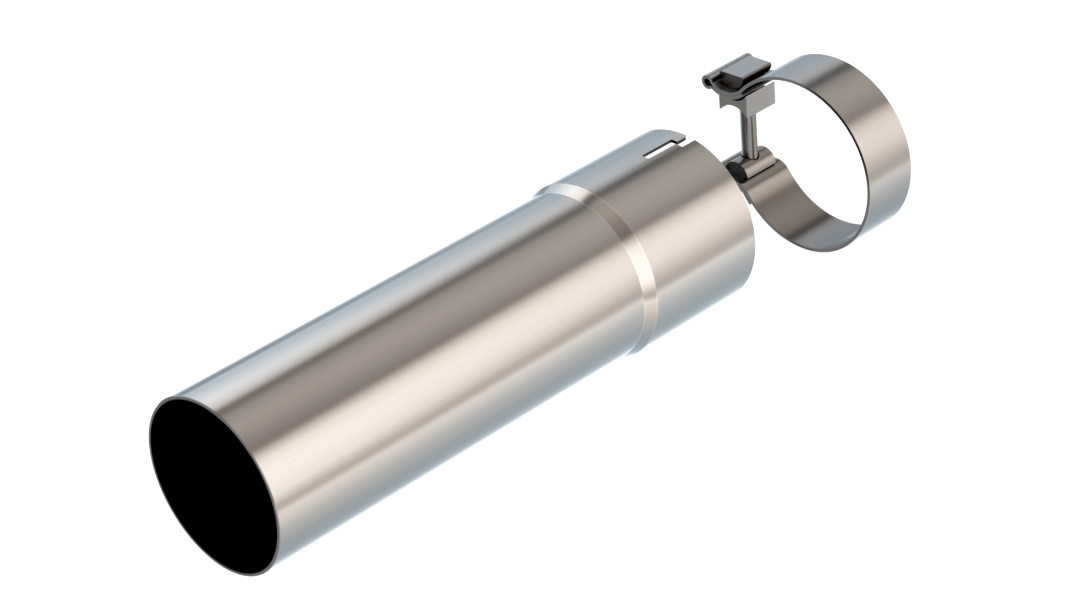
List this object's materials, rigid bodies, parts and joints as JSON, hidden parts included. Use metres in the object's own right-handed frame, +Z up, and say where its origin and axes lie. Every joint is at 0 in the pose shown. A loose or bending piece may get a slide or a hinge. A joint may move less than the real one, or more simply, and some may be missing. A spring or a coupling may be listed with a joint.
{
  "type": "exhaust pipe with band clamp",
  "caption": "Straight steel exhaust pipe, plain at one end, with a slotted slip-on socket at the other and the open band clamp that closes it.",
  "frame": {"origin": "centre of the socket's mouth, on the pipe's axis", "axes": "+X along the pipe's axis, out of the socket's mouth; +Z up, away from the floor that pipe and clamp rest on"},
  "size_m": [0.4784, 0.1316, 0.1103],
  "materials": {
    "satin_tube": "satin stainless steel, drawn along its length",
    "band_steel": "satin stainless strip",
    "forged_steel": "plain forged steel",
    "bar_steel": "drawn half-round bar",
    "block_steel": "matt extruded block",
    "nut_steel": "plain nut"
  },
  "bodies": {
    "pipe": {"exhaust_pipe": "satin_tube"},
    "clamp": {"clamp_band": "band_steel", "t_bolt": "forged_steel", "lower_bar": "bar_steel"},
    "block": {"spacer_block": "block_steel"},
    "nut": {"clamp_nut": "nut_steel"}
  },
  "joints": [
    {"name": "clamp_lift", "type": "slide", "parent": "pipe", "child": "clamp", "axis": [0, 0, 1], "range_m": [0, 0.125]},
    {"name": "block_slide", "type": "slide", "parent": "clamp", "child": "block", "axis": [0, 0.1097, 0.994], "range_m": [-0.0376, 0.0009]},
    {"name": "nut_turn", "type": "hinge", "parent": "clamp", "child": "nut", "pos_m": [0.1034, 0.03788, -0.03951], "axis": [0, 0.1097, 0.994], "continuous": true}
  ]
}
